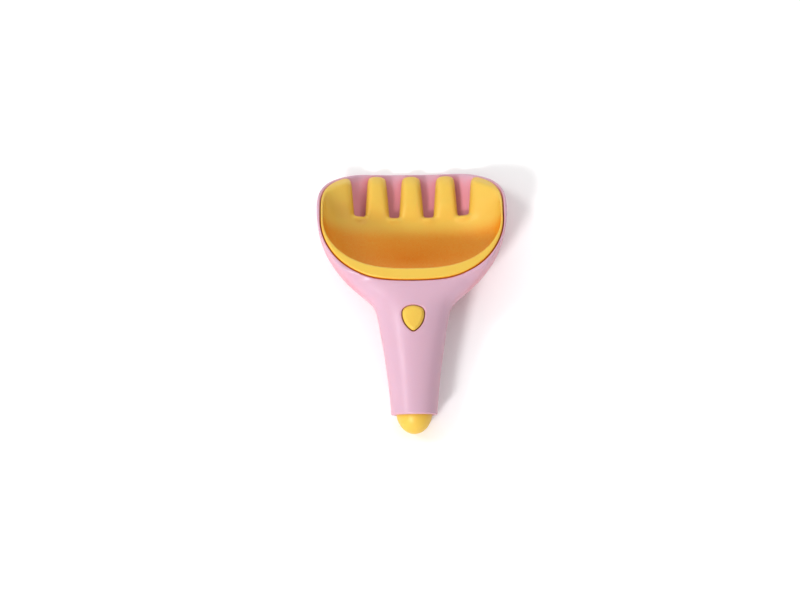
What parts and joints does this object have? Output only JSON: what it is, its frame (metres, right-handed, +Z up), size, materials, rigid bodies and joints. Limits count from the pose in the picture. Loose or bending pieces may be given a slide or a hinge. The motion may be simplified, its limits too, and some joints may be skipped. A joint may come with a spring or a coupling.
{
  "type": "sand rake",
  "caption": "Child's hand rake with tined bowl, nested in a matching sand shovel with a hollow sleeve handle, domed knob and press latch.",
  "frame": {"origin": "bottom centre of the whole nested toy's box, on the surface that it rests on", "axes": "+Y runs from the knob towards the lip of the scoop, +Z is up out of the open bowl, +X is to the right when looking from the knob to the lip"},
  "size_m": [0.116, 0.176, 0.042],
  "materials": {
    "shovel_plastic": "soft satin moulded plastic, pale pink",
    "rake_plastic": "soft satin moulded plastic, warm yellow"
  },
  "bodies": {
    "shovel": {"shovel_shell": "shovel_plastic"},
    "rake": {"rake_head": "rake_plastic", "rake_stem": "rake_plastic", "end_knob": "rake_plastic"},
    "latch": {"latch_tongue": "rake_plastic"}
  },
  "joints": [
    {"name": "rake_slide", "type": "slide", "parent": "shovel", "child": "rake", "axis": [0, 0.9833, 0.1822], "range_m": [0, 0.18], "deforming": ["latch_tongue"]},
    {"name": "latch_press", "type": "hinge", "parent": "rake", "child": "latch", "pos_m": [0, -0.06354, 0.02652], "axis": [-1, 0, 0], "range_deg": [0, 8], "stiffness_Nm_per_rad": 1, "springref_deg": -1.72, "deforming": ["latch_tongue"]}
  ]
}
